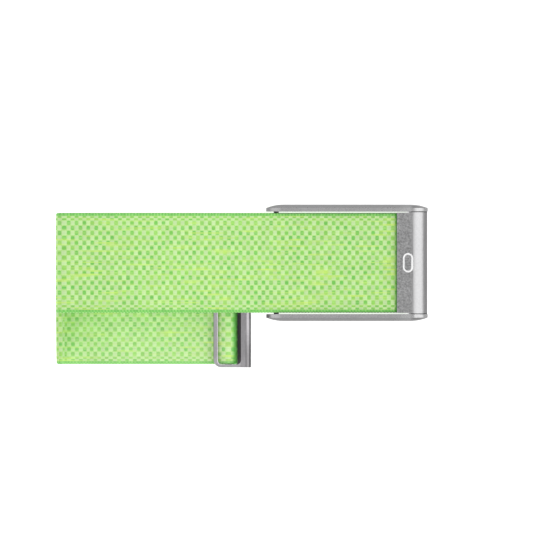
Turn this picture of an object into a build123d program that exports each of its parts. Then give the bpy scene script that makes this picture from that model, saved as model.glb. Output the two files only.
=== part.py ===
from build123d import *
import math
import os

# Elastic woven wristband for a small sensor pod. A flat strap is folded back on itself in a loop.
# Its upper end is held in a metal clasp of two side arms and a hooked end cap, and its lower run
# passes round the bar of a slide buckle. The pod itself isn't part of the band.
#
# Millimetres. +X runs from the strap's fold to the clasp's closed end and +Z points up from the
# surface the band lies on. The origin is at the bottom centre of the whole band.

# Strap
STRAP_WIDTH = 23.4
STRAP_THICK = 1.5
HALF_THICK = STRAP_THICK / 2
UPPER_Y = 5.45  # centre of the upper run, which the clasp holds
LOWER_Y = -6.68  # centre of the lower run, which the buckle holds
PART_GAP = 0.1  # half the slit between two strap pieces that move apart

# Fold of the strap at the -X end
FOLD_X = -43.70  # outside of the fold
FOLD_TOP = 15.0  # outside height of the fold
FOLD_RADIUS = 1.6  # centreline radius of its two corners
FOLD_START_X = -40.5  # where the flat runs end and the fold begins
FOLD_STATIONS = 16  # cross-sections along each half of the fold
UPPER_BEND_X = -26.0  # where the upper run levels out on its way up to the fold

# Side arms of the clasp: flat inside, shallow crown outside, full round ends
ARM_X0 = 5.68
ARM_X1 = 43.70
ARM_HEIGHT = 8.0
ARM_RADIUS = ARM_HEIGHT / 2
ARM_INNER = 12.05  # from the clasp's centre plane to an arm's flat inner face
ARM_THICK = 1.65
ARM_RIM = 0.85  # thickness left at the rim
ARM_EDGE = 0.12

# End cap: a flat lip over the strap, rolled down into a round nose with a catch ledge below
CAP_RADIUS = 3.88
CAP_WALL = 0.75
LIP_X = 36.40
LIP_HALF = 11.77  # half width of the lip and the ledge, narrower than the nose
SHOULDER_X = 39.70  # where the cap widens to meet the arms
LEDGE_X = 38.6
MARK_X = 39.03
MARK_LENGTH = 4.5
MARK_WIDTH = 2.35
MARK_LINE = 0.35
MARK_DEPTH = 0.1

# Pins and rod
PIN_RADIUS = 0.6
PIN_SHANK = 0.40  # thinner end of a pivot pin, pressed into its arm
PIN_X = 8.07
PIN_REACH = 1.6  # how far a pivot pin stands out of its arm
PIN_CHAMFER = 0.15
PIN_SEAT = 0.8  # how deep pins and rod sit in the arms
ROD_RADIUS = 0.6
ROD_X = 39.8
WRAP_CLEARANCE = 0.05

# Slide buckle
SLIDER_X0 = -6.69
SLIDER_X1 = 2.10
SLIDER_HALF = 12.47
SLIDER_RAIL = 0.70  # thickness of the side rails
SLIDER_TOP = 4.90
SLIDER_PLATE = 1.0  # thickness of the frame plate
WINDOW_X0 = -5.65
WINDOW_X1 = -0.25
WINDOW_RADIUS = 1.0
SLIDER_CORNER = 1.8
END_BAR_ROUND = 0.6
WINDOW_ROUND = 0.25  # softened top edge of the window
HOOK_ROUND = 1.2
BAR_RADIUS = 0.7
BAR_SEAT = 0.4  # how deep the middle bar sits in each lug
BAR_X = -3.25
LUG_RADIUS = 1.35
HOOK_WALL = 0.9
HOOK_LIP = 0.6
HOOK_LIP_X = -1.35  # the lip folds back under the window

# Lower run
RAMP_X0 = -36.0  # where the lower run starts to climb over its own tail
RAMP_X1 = -30.5
FEED_X0 = -30.0  # the stretch that shortens as the buckle is moved
FEED_X1 = -8.0
FEED_Z = 2.45  # centreline height above the tail
WRAP_LEAD = 25  # degrees before the top of the bar where the strap meets it
WRAP_END_X = -5.0
TAIL_TIP_X0 = -18.5
TAIL_TIP_X1 = -13.0

# Stitching
THREAD_RADIUS = 0.12
LEG_RADIUS = 0.09  # the same thread, pulled tight through the plies
STITCHES = 13
STITCH_PITCH = 1.7
STITCH_FLOAT = 1.1

# Heights that follow from the sizes above
ARM_Z = ARM_RADIUS
ARM_C0 = ARM_X0 + ARM_RADIUS
ARM_C1 = ARM_X1 - ARM_RADIUS
LIP_TOP = ARM_Z + CAP_RADIUS
CLASP_Z = LIP_TOP - CAP_WALL - 0.1 - HALF_THICK
ROD_WRAP = ROD_RADIUS + WRAP_CLEARANCE + HALF_THICK
ROD_Z = CLASP_Z - ROD_WRAP
FOLD_MID_X = FOLD_X + HALF_THICK
FOLD_MID_Z = FOLD_TOP - HALF_THICK
BAR_WRAP = BAR_RADIUS + WRAP_CLEARANCE + HALF_THICK
BAR_Z = BAR_WRAP + HALF_THICK


def rod(radius, x, z, y0, y1):
    """A round bar along Y."""
    return Pos(x, (y0 + y1) / 2, z) * Rot(90, 0, 0) * Cylinder(radius, y1 - y0)


def block(x0, x1, y0, y1, z0, z1):
    """A plain box between two corners."""
    return Pos((x0 + x1) / 2, (y0 + y1) / 2, (z0 + z1) / 2) * Box(x1 - x0, y1 - y0, z1 - z0)


def across(outline, y0, y1):
    """Extrude an outline drawn in X and Z along Y."""
    return Pos(0, y1, 0) * extrude(Plane.XZ * outline, amount=y1 - y0)


def ribbon(path, y):
    """A stretch of strap along a centreline drawn in X and Z."""
    line = Plane.XZ * path
    start = Plane(origin=line @ 0, x_dir=(0, 1, 0), z_dir=line % 0)
    return Pos(0, y, 0) * sweep(start * Rectangle(STRAP_WIDTH, STRAP_THICK), path=line)


def arm():
    """One side arm with its flat inner face on y = 0 and its crown towards +Y."""
    span = ARM_C1 - ARM_C0
    middle = (ARM_C0 + ARM_C1) / 2
    rise = ARM_THICK - ARM_RIM
    crown_radius = (ARM_RADIUS**2 + rise**2) / (2 * rise)
    crown_y = ARM_THICK - crown_radius
    blank = across(Pos(middle, ARM_Z) * SlotOverall(ARM_X1 - ARM_X0, ARM_HEIGHT), 0, ARM_THICK)
    crown = Pos(middle, crown_y, ARM_Z) * Rot(0, 90, 0) * Cylinder(crown_radius, span)
    for x in (ARM_C0, ARM_C1):
        crown += Pos(x, crown_y, ARM_Z) * Sphere(crown_radius)
    body = blank & crown
    body = fillet(body.faces().sort_by(Axis.Y)[0].edges(), ARM_EDGE)
    body -= rod(PIN_SHANK, PIN_X, ARM_Z, -1, PIN_SEAT)
    return body - rod(ROD_RADIUS, ROD_X, ROD_Z, -1, PIN_SEAT)


def end_cap():
    """Lip, round nose and catch ledge in one bent wall, with a plain etched mark on the lip."""
    inner = CAP_RADIUS - CAP_WALL
    low, high = ARM_Z - CAP_RADIUS, ARM_Z + CAP_RADIUS
    edge = Polyline((ARM_C1, high), (LIP_X, high), (LIP_X, high - CAP_WALL), (ARM_C1, high - CAP_WALL))
    edge += CenterArc((ARM_C1, ARM_Z), inner, 90, -180)
    edge += Polyline((ARM_C1, low + CAP_WALL), (LEDGE_X, low + CAP_WALL), (LEDGE_X, low), (ARM_C1, low))
    edge += CenterArc((ARM_C1, ARM_Z), CAP_RADIUS, -90, 180)
    wall = make_face(edge)
    tips = wall.vertices().filter_by_position(Axis.X, LIP_X - 1, LEDGE_X + 0.1)
    wall = fillet(tips, 0.2)
    cap = across(wall, UPPER_Y - ARM_INNER, UPPER_Y + ARM_INNER)
    for side in (-1, 1):
        y0, y1 = sorted((UPPER_Y + side * LIP_HALF, UPPER_Y + side * (ARM_INNER + 1)))
        cap -= block(LIP_X - 1, SHOULDER_X, y0, y1, low - 1, high + 1)
    mark = SlotOverall(MARK_LENGTH, MARK_WIDTH)
    mark -= SlotOverall(MARK_LENGTH - 2 * MARK_LINE, MARK_WIDTH - 2 * MARK_LINE)
    place = Pos(MARK_X, UPPER_Y, LIP_TOP - MARK_DEPTH) * Rot(0, 0, 90)
    return cap - extrude(place * mark, amount=1)


def pivot_pin(side):
    """Stepped stub pin: a thin shank pressed into one arm and a thicker end pointing at the other."""
    face = ARM_INNER
    pin = rod(PIN_RADIUS, PIN_X, ARM_Z, face - PIN_REACH, face)
    pin = chamfer(pin.edges().sort_by(Axis.Y)[0], PIN_CHAMFER)
    pin += rod(PIN_SHANK, PIN_X, ARM_Z, face, face + PIN_SEAT)
    return Pos(0, UPPER_Y, 0) * (pin if side > 0 else mirror(pin, Plane.XZ))


def strap_end_loop():
    """End of the strap: under the lip, round the rod and back, with a short return ply to sew."""
    return_radius = 1.0
    turn = math.radians(-150)
    leave = (ROD_X + ROD_WRAP * math.cos(turn), ROD_Z + ROD_WRAP * math.sin(turn))
    centre = (leave[0] + return_radius * math.cos(turn), leave[1] + return_radius * math.sin(turn))
    ply_z = centre[1] + return_radius
    path = Line((LIP_X - 0.2, CLASP_Z), (ROD_X, CLASP_Z))
    path += CenterArc((ROD_X, ROD_Z), ROD_WRAP, 90, -240)
    path += CenterArc(centre, return_radius, 30, 60)
    path += Line((centre[0], ply_z), (LIP_X + 0.1, ply_z))
    return ribbon(path, UPPER_Y), ply_z


def stitch_row(x, y, z0, z1):
    """A row of thread staples across the strap: a float below and two legs up into the plies."""
    row = []
    for i in range(STITCHES):
        middle = y + (i - (STITCHES - 1) / 2) * STITCH_PITCH
        ends = (middle - STITCH_FLOAT / 2, middle + STITCH_FLOAT / 2)
        staple = rod(THREAD_RADIUS, x, z0, ends[0] - THREAD_RADIUS, ends[1] + THREAD_RADIUS)
        for leg_y in ends:
            staple += Pos(x, leg_y, (z0 + z1) / 2) * Cylinder(LEG_RADIUS, z1 - z0)
        row.append(staple)
    return row


def strap_upper_run():
    """From the clasp's lip, over the pod bay and the buckle, up to the top of the fold."""
    path = FilletPolyline(
        (LIP_X - 0.3 - PART_GAP, CLASP_Z),
        (8.0, CLASP_Z + 0.2),
        (UPPER_BEND_X, FOLD_MID_Z),
        (FOLD_START_X, FOLD_MID_Z),
        radius=55,
    )
    return ribbon(path, UPPER_Y)


def fold_half(lower):
    """Half of the fold, which also carries the strap sideways from one run's line to the other's."""
    path = FilletPolyline(
        (FOLD_START_X, FOLD_MID_Z),
        (FOLD_MID_X, FOLD_MID_Z),
        (FOLD_MID_X, HALF_THICK),
        (FOLD_START_X, HALF_THICK),
        radius=FOLD_RADIUS,
    )
    path = Plane.XZ * path
    slit = PART_GAP / path.length
    u0, u1 = (0.5 + slit, 1) if lower else (0, 0.5 - slit)
    # the sideways shift runs between the middles of the two corners
    lead = (FOLD_START_X - FOLD_MID_X - FOLD_RADIUS * (1 - math.pi / 4)) / path.length
    sections = []
    for i in range(FOLD_STATIONS + 1):
        u = u0 + (u1 - u0) * i / FOLD_STATIONS
        share = min(max((u - lead) / (1 - 2 * lead), 0), 1)
        shift = share * share * (3 - 2 * share)
        y = UPPER_Y + (LOWER_Y - UPPER_Y) * shift
        place = Plane(origin=path @ u + Vector(0, y, 0), x_dir=(0, 1, 0), z_dir=path % u)
        sections.append(place * Rectangle(STRAP_WIDTH, STRAP_THICK))
    return loft(sections, ruled=True)


def strap_lower_ramp():
    """Flat on the surface beside the fold, then up over the place where the tail lies."""
    path = FilletPolyline(
        (FOLD_START_X, HALF_THICK),
        (RAMP_X0, HALF_THICK),
        (RAMP_X1, FEED_Z),
        (FEED_X0, FEED_Z),
        radius=3,
    )
    return ribbon(path, LOWER_Y)


def strap_wrap():
    """Under the buckle's end bar, over its middle bar and back underneath."""
    lead = math.radians(WRAP_LEAD)
    meet = (BAR_X - BAR_WRAP * math.sin(lead), BAR_Z + BAR_WRAP * math.cos(lead))
    bend = (meet[0] - (meet[1] - FEED_Z) / math.tan(lead), FEED_Z)
    climb = FilletPolyline((FEED_X1, FEED_Z), bend, meet, radius=3)
    turn = CenterArc((BAR_X, BAR_Z), BAR_WRAP, 90 + WRAP_LEAD, -180 - WRAP_LEAD)
    back = Line((BAR_X, HALF_THICK), (WRAP_END_X, HALF_THICK))
    return ribbon(climb + turn + back, LOWER_Y)


def tail_tip():
    """Moulded end of the tail, with a rounded nose."""
    half = STRAP_WIDTH / 2
    x0, x1 = TAIL_TIP_X0, TAIL_TIP_X1
    tip = block(x0, x1, LOWER_Y - half, LOWER_Y + half, 0, STRAP_THICK)
    tip = fillet(tip.edges().filter_by(Axis.Z).sort_by(Axis.X)[:2], 3)
    return chamfer(tip.faces().sort_by(Axis.Z)[-1].edges().sort_by(Axis.X)[0], 0.4)


def slider_frame():
    """Frame with a window and two lugs for the middle bar; its far plate folds down and back under as a hook."""
    y0, y1 = LOWER_Y - SLIDER_HALF, LOWER_Y + SLIDER_HALF
    base = SLIDER_TOP - SLIDER_PLATE
    wall_x = SLIDER_X1 - HOOK_WALL
    outline = make_face(
        Polyline(
            (SLIDER_X0, base),
            (wall_x, base),
            (wall_x, HOOK_LIP),
            (HOOK_LIP_X, HOOK_LIP),
            (HOOK_LIP_X, 0),
            (SLIDER_X1, 0),
            (SLIDER_X1, SLIDER_TOP),
            (SLIDER_X0, SLIDER_TOP),
            close=True,
        )
    )
    top = outline.vertices().group_by(Axis.Y)[-1].sort_by(Axis.X)
    outline = fillet(top[0], END_BAR_ROUND)
    outline = fillet(outline.vertices().group_by(Axis.Y)[-1].sort_by(Axis.X)[-1], HOOK_ROUND)
    outline = fillet(outline.vertices().group_by(Axis.Y)[0], 0.2)
    frame = across(outline, y0, y1)
    for side in (-1, 1):
        inner, outer = sorted((LOWER_Y + side * (SLIDER_HALF - SLIDER_RAIL), LOWER_Y + side * SLIDER_HALF))
        lug = block(BAR_X - LUG_RADIUS, BAR_X + LUG_RADIUS, inner, outer, BAR_Z, base + 0.1)
        frame += lug + rod(LUG_RADIUS, BAR_X, BAR_Z, inner, outer)
    window = RectangleRounded(WINDOW_X1 - WINDOW_X0, 2 * (SLIDER_HALF - SLIDER_RAIL), WINDOW_RADIUS)
    window = Pos((WINDOW_X0 + WINDOW_X1) / 2, LOWER_Y, base - 0.5) * window
    frame -= extrude(window, amount=SLIDER_PLATE + 1)
    top = frame.faces().filter_by(Axis.Z).sort_by(Axis.Z)[-1]
    frame = fillet(top.inner_wires()[0].edges(), WINDOW_ROUND)
    # round the two corners at the end bar
    length = SLIDER_X1 - SLIDER_X0
    plan = RectangleRounded(2 * length, 2 * SLIDER_HALF, SLIDER_CORNER)
    frame &= extrude(Pos(SLIDER_X0 + length, LOWER_Y) * plan, amount=SLIDER_TOP)
    return frame - rod(BAR_RADIUS, BAR_X, BAR_Z, y0 + SLIDER_RAIL - BAR_SEAT, y1 - SLIDER_RAIL + BAR_SEAT)


def slider_bar():
    """Round bar across the buckle, seated in both lugs."""
    reach = SLIDER_HALF - SLIDER_RAIL + BAR_SEAT
    return rod(BAR_RADIUS, BAR_X, BAR_Z, LOWER_Y - reach, LOWER_Y + reach)


def build():
    """All the pieces, by node name."""
    side_arm = arm()
    end_loop, ply_z = strap_end_loop()
    pieces = {
        "side_arm_far": Pos(0, UPPER_Y + ARM_INNER, 0) * side_arm,
        "side_arm_near": Pos(0, UPPER_Y - ARM_INNER, 0) * mirror(side_arm, Plane.XZ),
        "end_cap": end_cap(),
        "pivot_pin_far": pivot_pin(1),
        "pivot_pin_near": pivot_pin(-1),
        "anchor_rod": rod(
            ROD_RADIUS,
            ROD_X,
            ROD_Z,
            UPPER_Y - ARM_INNER - PIN_SEAT,
            UPPER_Y + ARM_INNER + PIN_SEAT,
        ),
        "strap_end_loop": end_loop,
        "anchor_stitching": Compound(stitch_row(LIP_X + 0.7, UPPER_Y, ply_z - HALF_THICK, CLASP_Z)),
        "strap_upper_run": strap_upper_run(),
        "strap_upper_bend": fold_half(lower=False),
        "strap_lower_bend": fold_half(lower=True),
        "strap_lower_ramp": strap_lower_ramp(),
        "strap_feed": ribbon(Line((FEED_X0, FEED_Z), (FEED_X1, FEED_Z)), LOWER_Y),
        "strap_wrap": strap_wrap(),
        "strap_tail": ribbon(Line((WRAP_END_X, HALF_THICK), (TAIL_TIP_X1, HALF_THICK)), LOWER_Y),
        "tail_tip": tail_tip(),
        "slider_frame": slider_frame(),
        "slider_bar": slider_bar(),
    }
    return pieces


os.makedirs("parts", exist_ok=True)
for name, shape in build().items():
    export_step(shape, f"parts/{name}.step")
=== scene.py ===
import math

import bpy
import numpy as np
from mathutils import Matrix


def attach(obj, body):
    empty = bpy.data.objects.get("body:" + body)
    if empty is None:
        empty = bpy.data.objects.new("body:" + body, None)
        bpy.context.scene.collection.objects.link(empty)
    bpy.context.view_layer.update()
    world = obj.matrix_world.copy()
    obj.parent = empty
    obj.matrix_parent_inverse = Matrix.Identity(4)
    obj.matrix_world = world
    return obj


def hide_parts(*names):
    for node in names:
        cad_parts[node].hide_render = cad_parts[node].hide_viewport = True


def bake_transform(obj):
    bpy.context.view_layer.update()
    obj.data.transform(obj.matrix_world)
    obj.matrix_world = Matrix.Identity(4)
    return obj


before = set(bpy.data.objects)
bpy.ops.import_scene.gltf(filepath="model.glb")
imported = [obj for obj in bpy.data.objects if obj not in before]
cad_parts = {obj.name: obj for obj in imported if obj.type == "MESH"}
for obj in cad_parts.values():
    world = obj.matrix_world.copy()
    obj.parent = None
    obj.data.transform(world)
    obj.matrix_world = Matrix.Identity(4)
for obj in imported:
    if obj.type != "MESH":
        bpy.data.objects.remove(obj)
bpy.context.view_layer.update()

MM = 0.001

# ------------------------------------------------- the strap's route, as in the CAD model (mm)
STRAP_WIDTH = 23.4
STRAP_THICK = 1.5
HALF_WIDTH = STRAP_WIDTH / 2
HALF_THICK = STRAP_THICK / 2
UPPER_Y = 5.45
LOWER_Y = -6.68
LIP_X = 36.4
CLASP_Z = 6.28
ROD = (39.8, 4.88)
ROD_WRAP = 1.4
ROD_LEAVE = -150  # degrees round the rod where the sewn end leaves it
PLY_TURN = 1.0  # radius where the sewn end turns flat under the strap
RUN_RISE = 0.2  # how far the upper run rises between the clasp and its soft bend
RUN_BEND_X = 8.0
UPPER_BEND_X = -26.0
SAG_RADIUS = 55  # of the upper run's two soft curves
FOLD_X = -43.70
FOLD_TOP = 15.0
FOLD_RADIUS = 1.6
RAMP_X0 = -36.0
RAMP_X1 = -30.5
RAMP_RADIUS = 3
FEED_Z = 2.45
FEED_X0 = -30.0
FEED_X1 = -8.0
BAR = (-3.25, 2.25)
BAR_WRAP = 1.5
WRAP_LEAD = 25  # slope of the strap where it meets the bar, degrees
WRAP_END_X = -3.6
TAIL_END_X = -15.5
CLASP_PART_END = -33.0

# ------------------------------------------------- metal and mouldings, as in the CAD model (mm)
ARM_X0 = 5.68
ARM_X1 = 43.70
ARM_RADIUS = 4.0
CAP_HALF = 12.05
SEAM_X = 39.7  # from here the cap is as wide as the space between the arms
SATIN_X = 39.9  # from here its grain is finer
MARK_X = 39.03
MARK_RADIUS = 1.0  # the mark's line: two half circles joined by straight sides
MARK_STRAIGHT = 1.075
MARK_LINE = 0.2  # half its thickness
MARK_ABOVE = 7.5  # it is only on the lip's top
CHANNEL_HALF = 11.75  # the buckle's folded channel
CHANNEL_X = 1.19
CHANNEL_Z0 = 0.02
CHANNEL_Z1 = 3.89
TIP_X0 = -18.5

# ------------------------------------------------- the weave (mm)
CELL = 0.926  # along the strap
ROW = 1.168  # across the strap
EDGE_ROW = 0.54  # the finer rows beside each selvedge
FULL_ROWS = 17
BODY_HALF = FULL_ROWS * ROW / 2
PLIES = 3  # yarns to a row
YARN_TWIST = 0.16
YARN_RELIEF = 0.03
LOOP_FROM = 11.0  # where the selvedge loops begin, from the strap's centre line
LOOP_MIDDLE = LOOP_FROM + 0.24
LOOP_PITCH = 0.8 * CELL
LOOP_RISE = 0.05  # how far a loop stands out
EDGE_FROM = LOOP_FROM + 0.50  # where the face rolls over into the edge
RING = CELL / 5  # spacing of the mesh along the strap
ROW_POINTS = 4  # points of the mesh to a full row
EDGE_STEPS = 5  # points round each rolled edge
FACE_HALF = 0.655  # half thickness under the relief
EDGE_DROP = 0.03  # how much thinner the strap is at its edges
FLOAT_RISE = 0.085  # pale floats stand this far out
GROUND_RISE = 0.03
LOWER_PAINTED_LIGHT = 0.10  # painted light: the lower run is brighter by this share
FOLD_PAINTED_SHADE = 0.22  # painted shade: the fold's edges are darker by this share
LIP_SHADE = 0.55  # so is the strap under the lip


def linear(r, g, b):
    """An 8-bit display colour as scene-linear RGBA."""
    values = [v / 255 for v in (r, g, b)]
    return [v / 12.92 if v <= 0.04045 else ((v + 0.055) / 1.055) ** 2.4 for v in values] + [1.0]


# ------------------------------------------------- shader helpers
class Tree:
    """The nodes of a material or a world, built up by short calls."""

    def __init__(self, owner):
        owner.use_nodes = True
        self.owner = owner
        self.nodes = owner.node_tree.nodes
        self.links = owner.node_tree.links
        self.shader = self.nodes.get("Principled BSDF")

    def put(self, socket, value):
        if isinstance(value, bpy.types.NodeSocket):
            self.links.new(value, socket)
        elif value is not None:
            socket.default_value = value

    def set(self, **values):
        """Inputs of the surface shader, with _ for each space in a name."""
        for name, value in values.items():
            self.put(self.shader.inputs[name.replace("_", " ")], value)

    def math(self, operation, a, b=None, c=None):
        node = self.nodes.new("ShaderNodeMath")
        node.operation = operation
        for socket, value in zip(node.inputs, (a, b, c)):
            self.put(socket, value)
        return node.outputs[0]

    def plus(self, a, b):
        return self.math("ADD", a, b)

    def minus(self, a, b):
        return self.math("SUBTRACT", a, b)

    def times(self, a, b):
        return self.math("MULTIPLY", a, b)

    def over(self, a, b):
        return self.math("DIVIDE", a, b)

    def line(self, value, slope, base):
        """value times slope, plus base."""
        return self.math("MULTIPLY_ADD", value, slope, base)

    def rest(self, share):
        """What a share leaves of 1."""
        return self.minus(1.0, share)

    def apart(self, a, b):
        """Distance between two numbers."""
        return self.math("ABSOLUTE", self.minus(a, b))

    def off_middle(self, value):
        """Distance from the middle of the whole step that the value is in, 0 to 0.5."""
        return self.apart(self.math("FRACT", value), 0.5)

    def length(self, a, b, power=2.0):
        """Distance from zero of a point in the plane; a power above 2 squares off its circles."""
        total = self.plus(self.math("POWER", a, power), self.math("POWER", b, power))
        return self.math("POWER", total, 1 / power)

    def ramp(self, value, low, high):
        """0 at low, 1 at high, smooth between."""
        node = self.nodes.new("ShaderNodeMapRange")
        node.interpolation_type = "SMOOTHSTEP"
        self.put(node.inputs["Value"], value)
        node.inputs["From Min"].default_value = low
        node.inputs["From Max"].default_value = high
        return node.outputs["Result"]

    def mix(self, share, a, b):
        node = self.nodes.new("ShaderNodeMix")
        node.data_type = "RGBA"
        self.put(node.inputs[0], share)
        self.put(node.inputs[6], a)
        self.put(node.inputs[7], b)
        return node.outputs[2]

    def scaled(self, colour, amount):
        """A colour times a number."""
        node = self.nodes.new("ShaderNodeVectorMath")
        node.operation = "SCALE"
        self.put(node.inputs[0], colour)
        self.put(node.inputs["Scale"], amount)
        return node.outputs[0]

    def vector(self, x, y, z):
        node = self.nodes.new("ShaderNodeCombineXYZ")
        for socket, value in zip(node.inputs, (x, y, z)):
            self.put(socket, value)
        return node.outputs[0]

    def split(self, vector):
        node = self.nodes.new("ShaderNodeSeparateXYZ")
        self.put(node.inputs[0], vector)
        return node.outputs

    def object_mm(self):
        """The point's place in the CAD frame, in millimetres."""
        place = self.nodes.new("ShaderNodeTexCoord").outputs["Object"]
        return self.scaled(place, 1 / MM)

    def attribute(self, name):
        node = self.nodes.new("ShaderNodeAttribute")
        node.attribute_name = name
        return self.split(node.outputs["Vector"])

    def noise(self, vector, scale=1.0, detail=2.0, rough=0.5):
        node = self.nodes.new("ShaderNodeTexNoise")
        self.put(node.inputs["Vector"], vector)
        node.inputs["Scale"].default_value = scale
        node.inputs["Detail"].default_value = detail
        node.inputs["Roughness"].default_value = rough
        return node.outputs["Fac"]

    def random(self, vector):
        node = self.nodes.new("ShaderNodeTexWhiteNoise")
        node.noise_dimensions = "3D"
        self.put(node.inputs["Vector"], vector)
        return node.outputs["Value"]

    def bump(self, height, distance, strength):
        node = self.nodes.new("ShaderNodeBump")
        node.inputs["Strength"].default_value = strength
        node.inputs["Distance"].default_value = distance
        self.put(node.inputs["Height"], height)
        self.links.new(node.outputs[0], self.shader.inputs["Normal"])


def material_tree(name):
    return Tree(bpy.data.materials.new(name))


# ------------------------------------------------- the strap's material
PALE = linear(202, 235, 170)
CREAM = linear(200, 240, 150)  # light yarn between the rows
GREEN = linear(120, 204, 95)
LEAF = linear(152, 218, 100)
LIME = linear(205, 240, 116)
EDGE_GREEN = linear(118, 204, 97)
EDGE_PALE = linear(160, 222, 128)
EDGE_DEEP = linear(90, 174, 72)
# painted shade: the green of the fabric turning down past the buckle's bar and under the lip
SHADED_GREEN = linear(60, 210, 24)
# painted light: the pale tint of the lower run
PAINTED_PALE = linear(226, 228, 214)
FABRIC_GAIN = 0.90  # brightness of the whole strap
ROW_STRAY = 0.25  # how far a row's cells stray along the strap, in cells
CELL_VARIES = 0.10  # how much brightness differs from cell to cell
RIB_SHADE = 0.04  # how much darker the yarns' sides are
# painted light: how far the lower run goes towards its pale tint
PAINTED_PALE_SHARE = 0.10
# painted shade: how far the colour goes towards that green
SHADED_SHARE = 0.80
# how a cell's colour fades out: between these distances from its middle, in cells
CELL_EDGE = (0.34, 0.55)
FLOAT_EDGE = (0.36, 0.52)
CREAM_EDGE = (0.30, 0.50)
LOOP_EDGE = (0.18, 0.44)
TURN_EDGE = (0.10, 0.42)
# how fast the random shades change along the strap, per mm
STRAY_PACE = 0.13
DRIFT_PACE = 0.16
STREAK_PACE = 0.12
PATCH_PACE = 0.10


def selvedge(t, s, across, side, shade):
    """The strap's edge: a row of small loops, then slanting turns of binding yarn."""
    place = t.over(s, LOOP_PITCH)
    loop = t.length(t.off_middle(place), t.over(t.minus(across, LOOP_MIDDLE), LOOP_PITCH))
    loop = t.times(t.rest(t.ramp(loop, *LOOP_EDGE)), t.line(shade, 0.5, 0.45))
    loops = t.mix(loop, EDGE_GREEN, EDGE_PALE)
    turn = t.ramp(t.off_middle(t.line(side, 0.5, place)), *TURN_EDGE)
    turns = t.mix(t.times(turn, t.line(shade, 0.4, 0.6)), EDGE_PALE, EDGE_DEEP)
    return t.mix(t.ramp(across, EDGE_FROM - 0.02, EDGE_FROM + 0.05), loops, turns)


def strap_fabric():
    """Jacquard elastic: a check of pale floats and green ground, lime yarns, looped selvedges."""
    t = material_tree("strap_weave")
    s, w, side = t.attribute("weave")
    across = t.math("ABSOLUTE", w)
    half = t.math("SIGN", w)
    past = t.math("MAXIMUM", t.minus(across, BODY_HALF), 0.0)
    row = t.plus(t.line(past, 1 / EDGE_ROW - 1 / ROW, t.over(across, ROW)), 0.5)
    row_index = t.math("FLOOR", row)
    # in each noise a large step from row to row, or yarn to yarn, keeps neighbours unalike
    stray = t.noise(t.vector(t.times(s, STRAY_PACE), t.times(row_index, 5.3), half))
    column = t.line(t.minus(stray, 0.5), ROW_STRAY, t.over(s, CELL))
    column_index = t.math("FLOOR", column)
    ply = t.math("FLOOR", t.times(row, float(PLIES)))
    parity = t.plus(t.plus(row_index, column_index), side)
    ground = t.rest(t.math("FLOORED_MODULO", parity, 2.0))
    u, v = t.off_middle(column), t.off_middle(row)

    # shades: by place along a row, by cell and by yarn
    drift = t.noise(t.vector(t.times(s, DRIFT_PACE), t.times(row_index, 2.9), half))
    cell_shade = t.random(t.vector(column_index, row_index, half))
    yarn_shade = t.random(t.vector(column_index, ply, half))
    green = t.mix(t.ramp(drift, 0.38, 0.66), GREEN, LEAF)
    depth = t.math("MINIMUM", t.line(yarn_shade, 0.50, 0.60), 1.0)
    inside = t.rest(t.ramp(t.length(u, v, 3.0), *CELL_EDGE))
    ground_share = t.times(inside, t.times(ground, depth))
    pale_share = t.times(t.rest(ground), t.rest(t.ramp(v, *FLOAT_EDGE)))
    between = t.mix(t.ramp(u, *CREAM_EDGE), CREAM, t.mix(0.5, CREAM, LEAF))
    colour = t.mix(ground_share, t.mix(pale_share, between, PALE), green)

    # lime yarns surface here and there for some millimetres
    yarn_place = t.vector(t.times(s, STREAK_PACE), t.times(ply, 3.7), half)
    streak = t.ramp(t.noise(yarn_place, detail=1.0), 0.52, 0.68)
    patch_place = t.vector(t.times(s, PATCH_PACE), t.times(w, 0.35), side)
    patch = t.ramp(t.noise(patch_place), 0.42, 0.66)
    colour = t.mix(t.times(streak, t.line(patch, 0.50, 0.28)), colour, LIME)

    on_edge = t.ramp(across, LOOP_FROM - 0.08, LOOP_FROM + 0.10)
    colour = t.mix(on_edge, colour, selvedge(t, s, across, side, cell_shade))

    # painted shade: deep green where the fabric turns down past the buckle's bar and dives under
    # the lip
    painted_shade = t.attribute("painted_shade")[0]
    colour = t.mix(t.times(painted_shade, SHADED_SHARE), colour, SHADED_GREEN)
    # painted light and shade: the lower run lighter and paler, the fold's edges and the strap under
    # the lip darker
    painted_light_and_shade = t.attribute("painted_light_and_shade")[0]
    lit_share = t.ramp(painted_light_and_shade, 1.0, 1 + LOWER_PAINTED_LIGHT)
    colour = t.mix(t.times(lit_share, PAINTED_PALE_SHARE), colour, PAINTED_PALE)
    rib = t.math("COSINE", t.times(row, 2 * math.pi * PLIES))
    shade = t.line(rib, -RIB_SHADE, FABRIC_GAIN)
    shade = t.line(t.minus(cell_shade, 0.5), CELL_VARIES, shade)
    # painted shade: a little darker there as well
    shade = t.times(shade, t.line(painted_shade, -0.08, 1.0))
    t.set(
        Base_Color=t.scaled(colour, t.times(shade, painted_light_and_shade)),
        Roughness=0.85,
        Sheen_Weight=0.08,
        Sheen_Roughness=0.5,
        Specular_IOR_Level=0.2,
    )
    slant = t.plus(s, t.times(w, 0.6))
    twist = t.math("SINE", t.times(slant, 2 * math.pi / YARN_TWIST))
    height = t.line(rib, -0.5, t.times(twist, 0.18))
    height = t.plus(height, t.noise(t.vector(s, w, side), 9.0))
    t.bump(height, YARN_RELIEF * MM, 0.7)
    return t.owner


# ------------------------------------------------- metal: tone is the brightness of a surface
NEUTRAL = (1.0, 1.0, 1.008)
WARM = (1.015, 0.985, 1.02)
PIN_TONE = 0.12
ROD_TONE = 0.75
ARM_TONE = 0.73
CAP_TONE = 0.58
RAIL_TONE = 0.66
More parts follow.
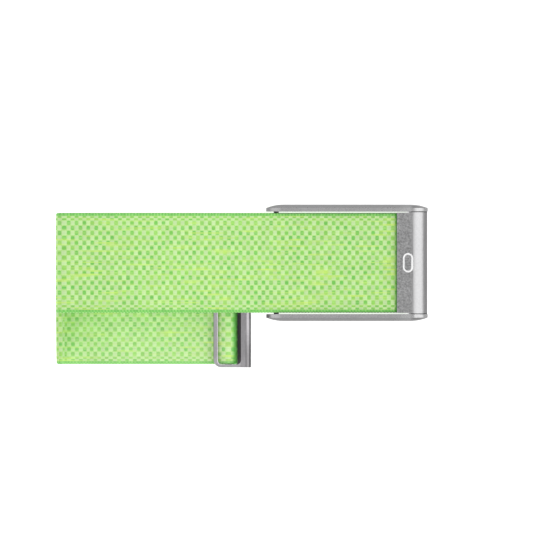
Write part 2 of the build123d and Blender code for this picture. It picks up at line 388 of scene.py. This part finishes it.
# roughness of each
PLAIN_ROUGH = 0.35
ARM_ROUGH = 0.31
CAP_ROUGH = 0.32
RAIL_ROUGH = 0.38
# how strongly the grain shows in the tone
PLAIN_GRIT = 0.4
ARM_GRIT = 0.3
LIP_GRIT = 2.0
NOSE_GRIT = 0.4
# where the tone changes along X (mm)
# painted highlight on the arms' tops towards the cap, then painted shade dimming it where the top
# curves down
ARM_PAINTED_HIGHLIGHT = (35.5, 39.0)
ARM_HIGHLIGHT_DIMMED = (39.4, 40.4)
# painted shade: the buckle's plate darker than its bar and rails
PLATE_SHADE_STEP = (-0.6, -0.1)
PLATE_BEGINS = (0.6, 1.1)
# painted shade on the buckle's turned edge
PLATE_EDGE_SHADE = (1.5, 1.8)
ENAMEL = (0.9, 0.9, 0.9, 1)
# painted shade: the dark inside the buckle's folded channel
CHANNEL_SHADE = (0.14, 0.12, 0.14, 1)
SMUDGES = 0.10  # how much handling marks change the tone and the roughness
GRAIN_ROUGHNESS = 0.14


def steel_finish(t, tone, roughness, grit, hue=NEUTRAL):
    """Bead-blasted steel: fine grain and faint handling marks in colour, roughness and relief."""
    place = t.object_mm()
    grain = t.minus(t.noise(place, 2.2, 4.0, 0.7), 0.5)
    smudge = t.minus(t.noise(place, 0.22), 0.5)
    tint = t.line(smudge, SMUDGES, t.line(grain, grit, 1.0))
    rough = t.line(smudge, SMUDGES, t.line(grain, GRAIN_ROUGHNESS, roughness))
    t.bump(t.noise(place, 9.0), 0.012 * MM, 0.4)
    return t.scaled(hue, t.times(tint, tone)), rough


def metal(t, colour, rough, metallic=1.0):
    t.set(Base_Color=colour, Metallic=metallic, Roughness=rough)
    return t.owner


def plain_steel(name, tone):
    t = material_tree(name)
    return metal(t, *steel_finish(t, tone, PLAIN_ROUGH, PLAIN_GRIT))


def arm_steel():
    """Side arms: polished lighter along the rim by use; a painted highlight that grows towards the
    cap, dimmed by painted shade where the top curves down at the cap end.
    """
    t = material_tree("clasp_steel")
    place = t.object_mm()
    x, y, z = t.split(place)
    # painted highlight: lighter towards the cap
    tone = t.line(t.ramp(x, *ARM_PAINTED_HIGHLIGHT), 0.15, ARM_TONE)
    # painted shade: dims that highlight where the top curves down at the cap end
    dimmed_highlight = t.times(t.ramp(x, *ARM_HIGHLIGHT_DIMMED), t.ramp(z, 6.0, 6.9))
    tone = t.line(dimmed_highlight, -0.33, tone)
    # distance from the line joining the centres of the arm's two round ends
    straight = (ARM_X1 - ARM_X0) / 2 - ARM_RADIUS
    beyond = t.minus(t.apart(x, (ARM_X0 + ARM_X1) / 2), straight)
    from_axis = t.length(t.math("MAXIMUM", beyond, 0.0), t.minus(z, ARM_RADIUS))
    rim = t.ramp(from_axis, ARM_RADIUS - 0.7, ARM_RADIUS - 0.1)
    edge_band = t.times(rim, t.ramp(t.noise(place, 0.9, 3.0), 0.40, 0.65))
    colour, rough = steel_finish(t, t.line(edge_band, 0.05, tone), ARM_ROUGH, ARM_GRIT)
    return metal(t, colour, t.line(edge_band, -0.06, rough))


def cap_steel():
    """End cap: coarse grain on the lip, satin nose, painted shade along the seams at the arms, a
    white enamel mark.
    """
    t = material_tree("cap_steel")
    x, y, z = t.split(t.object_mm())
    off_centre = t.apart(y, UPPER_Y)
    # painted shade along the seams where the cap meets the arms
    seam_shade = t.ramp(off_centre, CAP_HALF - 0.20, CAP_HALF - 0.12)
    seam_shade = t.times(seam_shade, t.ramp(x, SEAM_X, SEAM_X + 0.1))
    nose = t.ramp(x, SATIN_X - 0.3, SATIN_X + 0.2)
    grit = t.line(nose, NOSE_GRIT - LIP_GRIT, LIP_GRIT)
    colour, rough = steel_finish(t, t.line(seam_shade, -0.50, CAP_TONE), CAP_ROUGH, grit)
    along = t.math("MAXIMUM", t.minus(off_centre, MARK_STRAIGHT), 0.0)
    from_line = t.apart(t.length(along, t.minus(x, MARK_X)), MARK_RADIUS)
    enamel = t.math("LESS_THAN", from_line, MARK_LINE)
    enamel = t.times(enamel, t.math("GREATER_THAN", z, MARK_ABOVE))
    return metal(t, t.mix(enamel, colour, ENAMEL), rough, t.rest(enamel))


def slider_steel():
    """Buckle: painted light on its rails, painted shade on its plate that deepens towards the
    plate's ends and at its turned edge, and painted shade inside the folded channel.
    """
    t = material_tree("slider_steel")
    x, y, z = t.split(t.object_mm())
    off_centre = t.apart(y, LOWER_Y)
    plate = t.ramp(x, *PLATE_BEGINS)
    # painted shade: the plate darker than the bar and rails
    tone = t.line(t.ramp(x, *PLATE_SHADE_STEP), -0.13, RAIL_TONE)
    # painted shade: the plate's highlight fades towards its ends
    highlight_fade = t.times(plate, t.ramp(off_centre, 2.0, 10.0))
    tone = t.times(tone, t.line(highlight_fade, -0.42, 1.0))
    # painted shade on the plate's turned edge
    tone = t.times(tone, t.line(t.ramp(x, *PLATE_EDGE_SHADE), -0.48, 1.0))
    # painted light on the side rails
    rails_light = t.times(t.ramp(off_centre, 9.5, 11.5), t.rest(plate))
    tone = t.line(rails_light, 0.08, tone)
    colour, rough = steel_finish(t, tone, RAIL_ROUGH, PLAIN_GRIT, WARM)
    # painted shade: a dark, non-metallic colour inside the folded channel
    inside = t.math("LESS_THAN", off_centre, CHANNEL_HALF)
    inside = t.times(inside, t.math("LESS_THAN", x, CHANNEL_X))
    inside = t.times(inside, t.math("LESS_THAN", z, CHANNEL_Z1))
    inside = t.times(inside, t.math("GREATER_THAN", z, CHANNEL_Z0))
    return metal(t, t.mix(inside, colour, CHANNEL_SHADE), rough, t.rest(inside))


# ------------------------------------------------- thread and moulding
THREAD_LAY = 0.22  # pitch of the thread's strands
TIP_GREY = (0.050, 0.056, 0.054, 1)
TIP_SCUFFED = (0.17, 0.18, 0.175, 1)


def stitching_thread():
    """Twisted polyester sewing thread."""
    t = material_tree("stitching_thread")
    place = t.object_mm()
    x, y, z = t.split(place)
    lay = t.plus(t.plus(y, z), t.times(x, 1.4))
    strand = t.math("SINE", t.times(lay, 2 * math.pi / THREAD_LAY))
    fuzz = t.noise(place, 8.0, 3.0)
    colour = t.mix(t.line(strand, 0.35, 0.5), EDGE_DEEP, EDGE_PALE)
    t.set(
        Base_Color=t.scaled(colour, t.line(fuzz, 0.3, 0.75)),
        Roughness=0.7,
        Sheen_Weight=0.15,
        Sheen_Roughness=0.4,
        Specular_IOR_Level=0.3,
    )
    t.bump(t.plus(strand, fuzz), 0.03 * MM, 0.8)
    return t.owner


def moulded_tip():
    """Soft grey elastomer with a spark-eroded grain, scuffed paler along its rounded nose."""
    t = material_tree("moulded_tip")
    place = t.object_mm()
    x, y, z = t.split(place)
    grain = t.noise(place, 5.0, 3.0, 0.6)
    nose = t.ramp(x, TIP_X0 + 2.2, TIP_X0 + 0.3)
    scuff = t.times(t.ramp(t.noise(place, 0.8, 3.0), 0.45, 0.62), nose)
    colour = t.mix(t.times(scuff, 0.45), TIP_GREY, TIP_SCUFFED)
    t.set(
        Base_Color=t.scaled(colour, t.line(t.minus(grain, 0.5), 0.5, 1.0)),
        Roughness=t.line(scuff, 0.18, t.line(grain, 0.2, 0.48)),
        Specular_IOR_Level=0.45,
    )
    t.bump(grain, 0.05 * MM, 0.7)
    return t.owner


# ------------------------------------------------- the strap's path
def around(centre, radius, start, sweep, corners):
    """Corner points whose rounded corners run together into an arc about centre, in degrees."""
    half = math.radians(sweep / corners) / 2
    reach = radius / math.cos(half)
    points = []
    for i in range(corners):
        angle = math.radians(start) + half * (2 * i + 1)
        x, z = centre[0] + reach * math.cos(angle), centre[1] + reach * math.sin(angle)
        points.append((x, z, radius))
    return points


def route():
    """The strap's centreline, (x, z, corner radius), from the sewn end to the tail's end."""
    leave = math.radians(ROD_LEAVE)
    off_rod = (ROD[0] + ROD_WRAP * math.cos(leave), ROD[1] + ROD_WRAP * math.sin(leave))
    back = PLY_TURN * math.tan(math.radians(180 + ROD_LEAVE))
    ply_corner = (off_rod[0] + back * math.sin(leave), off_rod[1] - back * math.cos(leave))
    lead = math.radians(WRAP_LEAD)
    meet = (BAR[0] - BAR_WRAP * math.sin(lead), BAR[1] + BAR_WRAP * math.cos(lead))
    return [
        (LIP_X + 0.1, ply_corner[1], 0),
        (*ply_corner, PLY_TURN),
        *around(ROD, ROD_WRAP, ROD_LEAVE, 90 - ROD_LEAVE, 3),
        (RUN_BEND_X, CLASP_Z + RUN_RISE, SAG_RADIUS),
        (UPPER_BEND_X, FOLD_TOP - HALF_THICK, SAG_RADIUS),
        (FOLD_X + HALF_THICK, FOLD_TOP - HALF_THICK, FOLD_RADIUS),
        (FOLD_X + HALF_THICK, HALF_THICK, FOLD_RADIUS),
        (RAMP_X0, HALF_THICK, RAMP_RADIUS),
        (RAMP_X1, FEED_Z, RAMP_RADIUS),
        (meet[0] - (meet[1] - FEED_Z) / math.tan(lead), FEED_Z, RAMP_RADIUS),
        *around(BAR, BAR_WRAP, 90 + WRAP_LEAD, -180 - WRAP_LEAD, 3),
        (TAIL_END_X, HALF_THICK, 0),
    ]


def corner_arc(here, back, ahead, radius, step):
    """Points of the arc that rounds a corner, with unit vectors back and ahead along the route."""
    turn = math.pi - math.acos(np.clip(back @ ahead, -1, 1))
    inward = (back + ahead) / np.linalg.norm(back + ahead)
    middle = here + inward * radius / math.cos(turn / 2)
    spoke = here + back * (radius * math.tan(turn / 2)) - middle
    sign = 1 if back[1] * ahead[0] > back[0] * ahead[1] else -1
    angles = sign * np.linspace(0, turn, max(2, int(turn * radius / step)))
    c, s = np.cos(angles), np.sin(angles)
    arc = np.stack((c * spoke[0] - s * spoke[1], s * spoke[0] + c * spoke[1]), 1)
    return list(arc + middle)


def unit_vector(start, end):
    way = np.array(end[:2]) - np.array(start[:2])
    return way / np.linalg.norm(way)


def trace(corners, step=0.02):
    """Close points along the route, their arc lengths, and the index of each corner's middle."""
    line, marks = [np.array(corners[0][:2])], [0]
    for i, corner in enumerate(corners[1:], 1):
        here, radius = np.array(corner[:2]), corner[2]
        targets = [here]
        if radius:
            back, ahead = unit_vector(corner, corners[i - 1]), unit_vector(corner, corners[i + 1])
            targets = corner_arc(here, back, ahead, radius, step)
        run = targets[0] - line[-1]
        count = int(np.linalg.norm(run) / step)
        line += [line[-1] + run * k / count for k in range(1, count)]
        marks.append(len(line) + len(targets) // 2)
        line += targets
    line = np.array(line)
    gaps = np.linalg.norm(np.diff(line, axis=0), axis=1)
    line = line[np.r_[True, gaps > 1e-6]]
    length = np.r_[0, np.cumsum(np.linalg.norm(np.diff(line, axis=0), axis=1))]
    return line, length, marks


class Strap:
    """The strap's centreline, with its sideways shift through the fold."""

    def __init__(self):
        corners = route()
        self.line, self.length, marks = trace(corners)
        fold = [mark for mark, corner in zip(marks, corners) if corner[2] == FOLD_RADIUS]
        quarter = FOLD_RADIUS * math.pi / 4
        self.shift = [self.length[fold[0]] + quarter, self.length[fold[1]] - quarter]
        slope = np.gradient(self.line, self.length, axis=0)
        self.tangent = slope / np.linalg.norm(slope, axis=1)[:, None]

    def at(self, s):
        """Place, and the X and Z of the direction towards the outer face."""
        x, z = (np.interp(s, self.length, self.line[:, k]) for k in (0, 1))
        tx, tz = (np.interp(s, self.length, self.tangent[:, k]) for k in (0, 1))
        share = np.clip((s - self.shift[0]) / (self.shift[1] - self.shift[0]), 0, 1)
        y = UPPER_Y + (LOWER_Y - UPPER_Y) * share * share * (3 - 2 * share)
        return x, y, z, tz, -tx

    def where(self, x, after=0.0):
        """Arc length at which the centreline first passes x, beyond arc length after."""
        side = np.sign(self.line[:, 0] - x)
        crossing = np.flatnonzero((side[1:] != side[:-1]) & (self.length[1:] > after))
        return self.length[crossing[0] + 1]


# ------------------------------------------------- the strap's mesh
def section():
    """Places across the strap where each face has points, from edge to edge."""
    body = np.arange(FULL_ROWS * ROW_POINTS / 2 + 1) * ROW / ROW_POINTS
    fine = BODY_HALF + np.arange(1, 5) * EDGE_ROW / 2
    loops = LOOP_FROM + np.array([0.14, 0.30, 0.46])
    half = np.r_[body, fine[fine < LOOP_FROM + 0.02], loops]
    return np.r_[-half[:0:-1], half]


FACE_PLACES = section()
FACE_POINTS = len(FACE_PLACES)


def loop_wave(s):
    """0 between two selvedge loops, 1 at the top of one."""
    return 0.5 - 0.5 * np.cos(2 * math.pi * s / LOOP_PITCH)


def relief(s, w, side):
    """Height of the weave's floats and ground over the strap's face, mm."""
    across = np.abs(w)
    row = across / ROW + np.maximum(across - BODY_HALF, 0) * (1 / EDGE_ROW - 1 / ROW) + 0.5
    column = s / CELL
    parity = (np.floor(row + 1e-6) + np.floor(column + 1e-6) + side) % 2
    u = (column + 1e-6) % 1 - 0.5
    v = (row + 1e-6) % 1 - 0.5
    dome = (1 - (2 * np.abs(u)) ** 4) * (1 - (2 * np.abs(v)) ** 4)
    height = dome * np.where(parity > 0.5, FLOAT_RISE, GROUND_RISE)
    return np.where(across > LOOP_FROM - 0.02, LOOP_RISE * loop_wave(s) - EDGE_DROP, height)


def shade_under_lip(points):
    """Painted shade where the fabric dives under the cap's lip, 0 to 1."""
    x, z = points[:, 0], points[:, 2]
    return (np.clip((x - (LIP_X - 0.75)) / 0.7, 0, 1) * (z > CLASP_Z)) ** 2


def shade_past_bar(points, side):
    """Painted shade on the showing face where the fabric turns down past the top of the buckle's
    bar, 0 to 1.
    """
    x, z = points[:, 0] - BAR[0], points[:, 2] - BAR[1]
    past_top = np.clip((np.arctan2(x, z) - 0.30) / 0.45, 0, 1)
    near_bar = (np.hypot(x, z) < BAR_WRAP + STRAP_THICK) & (x > 0)
    return np.where(near_bar & (side == 1), past_top, 0)


def paint_light_and_shade(strap, s, across):
    """Painted light and shade: the lower run a little lighter, the fold's edges a little darker."""
    start, end = strap.shift
    paler = np.clip((s - start) / (end - start), 0, 1)
    edge_band = (s > start) & (s < end) & (across > EDGE_FROM - 0.03)
    return 1 + LOWER_PAINTED_LIGHT * paler - FOLD_PAINTED_SHADE * edge_band


def rings_between(s0, s1):
    """Arc lengths of a piece's cross-sections: whole rings, and its two ends."""
    whole = np.arange(math.ceil(s0 / RING + 1e-6), math.floor(s1 / RING - 1e-6) + 1) * RING
    stations = np.r_[s0, whole, s1]
    if stations[1] - stations[0] < RING / 4:
        stations = np.delete(stations, 1)
    if stations[-1] - stations[-2] < RING / 4:
        stations = np.delete(stations, -2)
    return stations


def skin(strap, stations):
    """All round each cross-section: place across, height off the centreline, side (0 outer)."""
    angles = np.linspace(0, math.pi, EDGE_STEPS + 2)[1:-1]
    upright = (stations > strap.shift[0]) & (stations < strap.shift[1])
    bulge = LOOP_RISE * np.where(upright, 1, loop_wave(stations))[:, None]
    last = FACE_PLACES[-1]
    sheets = []
    for side, way in ((0, 1), (1, -1)):
        s, w = np.meshgrid(stations, way * FACE_PLACES, indexing="ij")
        sheets.append((w, way * (FACE_HALF + relief(s, w, side)), np.full_like(w, side)))
        # the rolled edge after this face, with a bump for each loop
        roll = way * (last + (HALF_WIDTH - last + bulge) * np.sin(angles))
        lift = np.broadcast_to(way * (FACE_HALF - EDGE_DROP) * np.cos(angles), roll.shape)
        sheets.append((roll, lift, np.full_like(roll, side)))
    return (np.concatenate(parts, axis=1) for parts in zip(*sheets))


def end_faces(first):
    """Faces that close one end, whose points start at first: the outer face's to the inner's."""
    outer = [first + j for j in range(FACE_POINTS)]
    inner = [first + 2 * FACE_POINTS + EDGE_STEPS - 1 - j for j in range(FACE_POINTS)]
    rows = zip(outer, inner, inner[1:], outer[1:])
    right = [first + FACE_POINTS + k for k in range(EDGE_STEPS)]
    left = [first + 2 * FACE_POINTS + EDGE_STEPS + k for k in range(EDGE_STEPS)]
    return [
        *rows,
        (outer[-1], inner[-1], *right[::-1]),
        (outer[0], *left[::-1], inner[0]),
    ]


def weave_on_fold(weave, strap, stations, across, points, quads):
    """Give the fold's slanting edges, in place, the weave of the run that each one faces."""
    ring, spot = np.divmod(quads[:, 0], across.shape[1])
    slanting = (stations[ring] > strap.shift[0]) & (stations[ring + 1] < strap.shift[1])
    slanting &= spot % (FACE_POINTS + EDGE_STEPS) >= FACE_POINTS - 1
    near = across.ravel()[quads[:, 0]] < 0
    for chosen, run_y, turn, way, face in (
        (slanting & near, LOWER_Y, strap.shift[1], 1, 1),
        (slanting & ~near, UPPER_Y, strap.shift[0], -1, 0),
    ):
        spots = points[quads[chosen].ravel()]
        run_s = turn + way * (spots[:, 0] - FOLD_X - HALF_THICK)
        place = np.stack((run_s, spots[:, 1] - run_y, np.full(len(spots), face)), -1)
        weave[: 4 * len(quads)][np.repeat(chosen, 4)] = place


def store(mesh, name, values):
    """Keep one number for each of the mesh's points, for its material."""
    data = mesh.attributes.new(name, "FLOAT", "POINT").data
    data.foreach_set("value", values.astype(np.float32))


def smooth(mesh, degrees):
    """Smooth shading, kept sharp where faces meet at more than this angle."""
    mesh.shade_smooth()
    mesh.set_sharp_from_angle(angle=math.radians(degrees))


def strap_piece(name, strap, s0, s1, material):
    """A closed length of strap between two arc lengths, woven on both faces, with rolled edges."""
    stations = rings_between(s0, s1)
    across, lift, side = skin(strap, stations)
    x, y, z, nx, nz = (value[:, None] for value in strap.at(stations))
    points = np.stack((x + nx * lift, y + across, z + nz * lift), axis=-1).reshape(-1, 3)

    count = across.shape[1]
    here = np.arange((len(stations) - 1) * count).reshape(-1, count)
    beside = np.roll(here, -1, axis=1)
    quads = np.stack((here, beside, beside + count, here + count), -1).reshape(-1, 4)
    faces = [tuple(quad) for quad in quads]
    faces += end_faces(0)
    faces += [face[::-1] for face in end_faces((len(stations) - 1) * count)]
    mesh = bpy.data.meshes.new(name)
    mesh.from_pydata((points * MM).tolist(), [], faces)

    s = np.broadcast_to(stations[:, None], across.shape)
    corners = np.empty(len(mesh.loops), dtype=np.int32)
    mesh.loops.foreach_get("vertex_index", corners)
    weave = np.stack((s, across, side), -1).reshape(-1, 3)[corners]
    weave_on_fold(weave, strap, stations, across, points, quads)
    data = mesh.attributes.new("weave", "FLOAT_VECTOR", "CORNER").data
    data.foreach_set("vector", weave.astype(np.float32).ravel())
    # painted shade under the lip and past the top of the buckle's bar
    lip_shade_share = shade_under_lip(points)
    store(mesh, "painted_shade", np.maximum(lip_shade_share, shade_past_bar(points, side.ravel())))
    # painted light and shade: the lower run lighter, the fold's edges and the strap under the lip
    # darker
    painted_light_and_shade = paint_light_and_shade(strap, s.ravel(), np.abs(across.ravel())) - LIP_SHADE * lip_shade_share
    store(mesh, "painted_light_and_shade", painted_light_and_shade)
    smooth(mesh, 50)
    mesh.materials.append(material)

    piece = bpy.data.objects.new(name, mesh)
    bpy.context.scene.collection.objects.link(piece)
    # keeps the strap's colour out of the metal's reflections
    piece.visible_glossy = False
    return piece


# ------------------------------------------------- build the strap
strap = Strap()
fabric = strap_fabric()
s_fold_part = strap.where(CLASP_PART_END)
s_feed = strap.where(FEED_X0, after=strap.shift[1])
s_wrap = strap.where(FEED_X1, after=s_feed)
s_tail = strap.where(WRAP_END_X, after=strap.where(BAR[0], after=s_wrap) + 2 * BAR_WRAP)
s_tail_end = strap.length[-1]


clasp_part = strap_piece("strap_clasp_part", strap, 0.0, s_fold_part, fabric)
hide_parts("strap_end_loop", "strap_upper_run")
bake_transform(clasp_part)

fold_part = strap_piece("strap_fold_part", strap, s_fold_part, s_feed, fabric)
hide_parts("strap_upper_bend", "strap_lower_bend", "strap_lower_ramp")
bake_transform(fold_part)

feed_part = strap_piece("strap_feed_part", strap, s_feed, s_wrap, fabric)
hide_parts("strap_feed")
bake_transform(feed_part)

wrap_part = strap_piece("strap_wrap_part", strap, s_wrap, s_tail, fabric)
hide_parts("strap_wrap")
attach(wrap_part, "bar_loop")

tail_part = strap_piece("strap_tail_part", strap, s_tail, s_tail_end, fabric)
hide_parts("strap_tail")
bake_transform(tail_part)


# ------------------------------------------------- dress the CAD pieces
def dress(node, material, bevel=0.0):
    """Give a CAD node its material, even shading and, for machined parts, softly broken edges."""
    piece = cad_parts[node]
    piece.data.materials.clear()
    piece.data.materials.append(material)
    weld = piece.modifiers.new("weld", "WELD")
    weld.merge_threshold = 1e-6
    if bevel:
        flat = piece.modifiers.new("flat", "DECIMATE")
        flat.decimate_type = "DISSOLVE"
        flat.angle_limit = math.radians(0.3)
        edge = piece.modifiers.new("edges", "BEVEL")
        edge.width = bevel * MM
        edge.segments = 2
        edge.limit_method = "ANGLE"
        edge.angle_limit = math.radians(35)
    smooth(piece.data, 30)
    even = piece.modifiers.new("even", "WEIGHTED_NORMAL")
    even.keep_sharp = True
    even.weight = 100


arms = arm_steel()
pins = plain_steel("pin_steel", PIN_TONE)
rods = plain_steel("rod_steel", ROD_TONE)
for node, material, bevel in (
    ("side_arm_far", arms, 0.05),
    ("side_arm_near", arms, 0.05),
    ("end_cap", cap_steel(), 0.12),
    ("slider_frame", slider_steel(), 0.05),
    ("slider_bar", rods, 0),
    ("pivot_pin_far", pins, 0),
    ("pivot_pin_near", pins, 0),
    ("anchor_rod", rods, 0),
    ("anchor_stitching", stitching_thread(), 0),
    ("tail_tip", moulded_tip(), 0),
):
    dress(node, material, bevel)


# ------------------------------------------------- stage, light, camera
FLOOR_SIZE = 12
FLOOR_Z = -0.02  # mm, just under the part
LAMP_PLACE = (-0.6, -0.75, 1.35)
LAMP_POWER = 12.5
# brightness of the studio by direction, as the metal mirrors it
CEILING = 0.41
WALL = 0.58
RIGHT_BANK = 1.38
LEFT_BANK = 0.62
BELOW = 0.39
VIEW_WIDTH = 131.6  # mm
VIEW_CENTRE = (8.94, 1.41)
FOCUS_Z = 7  # mm, height at which the view has that width
LENS = 1000
SENSOR = 36


def stage_floor():
    """Plain pale floor. The metal mirrors the studio's dark underside, not the floor."""
    t = material_tree("floor")
    t.set(
        Base_Color=(0.8, 0.8, 0.8, 1),
        Roughness=0.9,
        Specular_IOR_Level=0.0,
        Emission_Color=(1, 1, 1, 1),
        Emission_Strength=0.7,
    )
    bpy.ops.mesh.primitive_plane_add(size=FLOOR_SIZE, location=(0, 0, FLOOR_Z * MM))
    floor = bpy.context.object
    floor.name = "floor"
    floor.data.materials.append(t.owner)
    floor.visible_glossy = False


def studio():
    t = Tree(bpy.data.worlds.new("studio"))
    bpy.context.scene.world = t.owner
    bpy.context.scene.view_settings.view_transform = "Standard"
    x, y, z = t.split(t.nodes.new("ShaderNodeTexCoord").outputs["Generated"])
    wall = t.ramp(t.math("ABSOLUTE", y), 0.1, 0.6)
    level = t.line(wall, WALL - CEILING, CEILING)
    level = t.plus(level, t.times(t.ramp(x, 0.28, 0.46), RIGHT_BANK - CEILING))
    level = t.plus(level, t.times(t.ramp(x, -0.28, -0.46), LEFT_BANK - CEILING))
    level = t.line(t.ramp(z, -0.12, 0.02), t.minus(level, BELOW), BELOW)
    background = t.nodes["Background"]
    background.inputs["Color"].default_value = (1, 1, 1, 1)
    t.put(background.inputs["Strength"], level)


def fill_light():
    """Broad, soft light from front left that reaches under the raised run, unseen in the metal."""
    light = bpy.data.lights.new("front", "AREA")
    light.shape = "RECTANGLE"
    light.size, light.size_y = 2.0, 1.2
    light.energy = LAMP_POWER
    lamp = bpy.data.objects.new("front", light)
    bpy.context.scene.collection.objects.link(lamp)
    lamp.location = LAMP_PLACE
    lamp.rotation_mode = "QUATERNION"
    lamp.rotation_quaternion = (-lamp.location).to_track_quat("-Z", "Y")
    lamp.visible_camera = False
    lamp.visible_glossy = False


def camera():
    """Straight down, from far away through a long lens, framed wider than the band."""
    data = bpy.data.cameras.new("camera")
    data.sensor_width = SENSOR
    data.lens = LENS
    data.clip_start, data.clip_end = 0.1, 20
    eye = bpy.data.objects.new("camera", data)
    distance = VIEW_WIDTH * LENS / SENSOR
    eye.location = (VIEW_CENTRE[0] * MM, VIEW_CENTRE[1] * MM, (distance + FOCUS_Z) * MM)
    bpy.context.scene.collection.objects.link(eye)
    bpy.context.scene.camera = eye


stage_floor()
studio()
fill_light()
camera()
